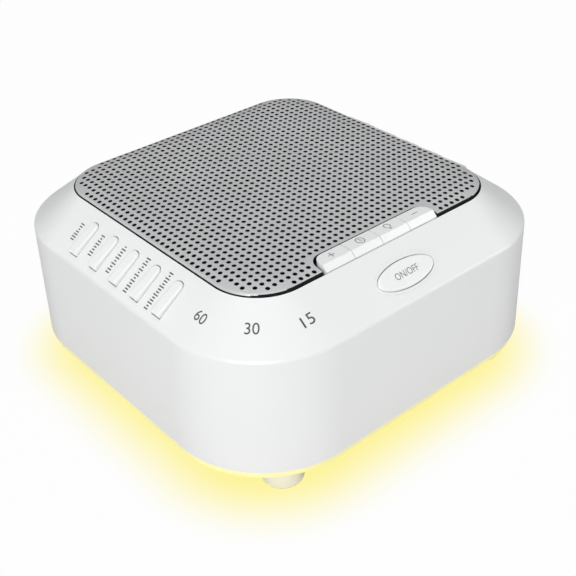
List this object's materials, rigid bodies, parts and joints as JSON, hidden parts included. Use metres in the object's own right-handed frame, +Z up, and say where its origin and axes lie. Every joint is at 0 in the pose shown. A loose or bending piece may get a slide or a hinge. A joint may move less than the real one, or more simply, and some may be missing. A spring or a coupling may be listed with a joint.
{
  "type": "white noise sound machine",
  "caption": "Low rounded-square bedside sound machine with a perforated top grille, sound keys on both sloping sides, a key bar, an oval power button and a lit ring under the rim.",
  "frame": {"origin": "middle of the footprint, on the plane the feet stand on", "axes": "+Z up, -Y the front slope with the oval power button, +X to its right"},
  "size_m": [0.1114, 0.1114, 0.0536],
  "materials": {
    "white_shell": "satin",
    "white_key": "satin",
    "grille_metal": "satin",
    "ring_diffuser": "frosted",
    "foot_rubber": "matte",
    "board_green": "matte",
    "board_white": "matte",
    "black_parts": "matte",
    "led_lens": "gloss",
    "screw_steel": "bright",
    "speaker_steel": "satin",
    "cone_paper": "matte",
    "soft_rubber": "matte",
    "spider_cloth": "matte",
    "coil_copper": "bright",
    "magnet_ferrite": "matte"
  },
  "bodies": {
    "case": {"base_cover": "white_shell", "board_screws": "screw_steel", "foot_left_back": "foot_rubber", "foot_left_front": "foot_rubber", "foot_right_back": "foot_rubber", "foot_right_front": "foot_rubber", "housing_screws": "screw_steel", "light_board": "board_white", "light_board_leds": "led_lens", "light_ring": "ring_diffuser", "main_board": "board_green", "main_board_parts": "black_parts", "power_inlet": "black_parts", "speaker_cone": "cone_paper", "speaker_dust_cap": "cone_paper", "speaker_frame": "speaker_steel", "speaker_gasket": "soft_rubber", "speaker_grille": "grille_metal", "speaker_magnet": "magnet_ferrite", "speaker_screws": "screw_steel", "speaker_spider": "spider_cloth", "speaker_surround": "soft_rubber", "speaker_top_plate": "speaker_steel", "speaker_voice_coil": "coil_copper", "speaker_yoke": "speaker_steel", "switch_board_bar": "board_green", "switch_board_left": "board_green", "switch_board_power": "board_green", "switch_board_right": "board_green", "switch_power": "black_parts", "switches_bar": "black_parts", "switches_left": "black_parts", "switches_right": "black_parts", "top_housing": "white_shell"},
    "plus_key_body": {"plus_key": "white_key"},
    "timer_key_body": {"timer_key": "white_key"},
    "light_key_body": {"light_key": "white_key"},
    "minus_key_body": {"minus_key": "white_key"},
    "power_button_body": {"power_button": "white_key"},
    "sound_key_left_1_body": {"sound_key_left_1": "white_key"},
    "sound_key_left_2_body": {"sound_key_left_2": "white_key"},
    "sound_key_left_3_body": {"sound_key_left_3": "white_key"},
    "sound_key_left_4_body": {"sound_key_left_4": "white_key"},
    "sound_key_left_5_body": {"sound_key_left_5": "white_key"},
    "sound_key_right_1_body": {"sound_key_right_1": "white_key"},
    "sound_key_right_2_body": {"sound_key_right_2": "white_key"},
    "sound_key_right_3_body": {"sound_key_right_3": "white_key"},
    "sound_key_right_4_body": {"sound_key_right_4": "white_key"},
    "sound_key_right_5_body": {"sound_key_right_5": "white_key"}
  },
  "joints": [
    {"name": "plus_key_press", "type": "slide", "parent": "case", "child": "plus_key_body", "axis": [0, 0, -1], "range_m": [0, 0.0008], "stiffness_N_per_m": 900},
    {"name": "timer_key_press", "type": "slide", "parent": "case", "child": "timer_key_body", "axis": [0, 0, -1], "range_m": [0, 0.0008], "stiffness_N_per_m": 900},
    {"name": "light_key_press", "type": "slide", "parent": "case", "child": "light_key_body", "axis": [0, 0, -1], "range_m": [0, 0.0008], "stiffness_N_per_m": 900},
    {"name": "minus_key_press", "type": "slide", "parent": "case", "child": "minus_key_body", "axis": [0, 0, -1], "range_m": [0, 0.0008], "stiffness_N_per_m": 900},
    {"name": "power_button_press", "type": "slide", "parent": "case", "child": "power_button_body", "axis": [0, 0.5943, -0.8042], "range_m": [0, 0.0008], "stiffness_N_per_m": 900},
    {"name": "sound_key_left_1_press", "type": "slide", "parent": "case", "child": "sound_key_left_1_body", "axis": [0.5943, 0, -0.8042], "range_m": [0, 0.0008], "stiffness_N_per_m": 900},
    {"name": "sound_key_left_2_press", "type": "slide", "parent": "case", "child": "sound_key_left_2_body", "axis": [0.5943, 0, -0.8042], "range_m": [0, 0.0008], "stiffness_N_per_m": 900},
    {"name": "sound_key_left_3_press", "type": "slide", "parent": "case", "child": "sound_key_left_3_body", "axis": [0.5943, 0, -0.8042], "range_m": [0, 0.0008], "stiffness_N_per_m": 900},
    {"name": "sound_key_left_4_press", "type": "slide", "parent": "case", "child": "sound_key_left_4_body", "axis": [0.5943, 0, -0.8042], "range_m": [0, 0.0008], "stiffness_N_per_m": 900},
    {"name": "sound_key_left_5_press", "type": "slide", "parent": "case", "child": "sound_key_left_5_body", "axis": [0.5943, 0, -0.8042], "range_m": [0, 0.0008], "stiffness_N_per_m": 900},
    {"name": "sound_key_right_1_press", "type": "slide", "parent": "case", "child": "sound_key_right_1_body", "axis": [-0.5943, 0, -0.8042], "range_m": [0, 0.0008], "stiffness_N_per_m": 900},
    {"name": "sound_key_right_2_press", "type": "slide", "parent": "case", "child": "sound_key_right_2_body", "axis": [-0.5943, 0, -0.8042], "range_m": [0, 0.0008], "stiffness_N_per_m": 900},
    {"name": "sound_key_right_3_press", "type": "slide", "parent": "case", "child": "sound_key_right_3_body", "axis": [-0.5943, 0, -0.8042], "range_m": [0, 0.0008], "stiffness_N_per_m": 900},
    {"name": "sound_key_right_4_press", "type": "slide", "parent": "case", "child": "sound_key_right_4_body", "axis": [-0.5943, 0, -0.8042], "range_m": [0, 0.0008], "stiffness_N_per_m": 900},
    {"name": "sound_key_right_5_press", "type": "slide", "parent": "case", "child": "sound_key_right_5_body", "axis": [-0.5943, 0, -0.8042], "range_m": [0, 0.0008], "stiffness_N_per_m": 900}
  ]
}
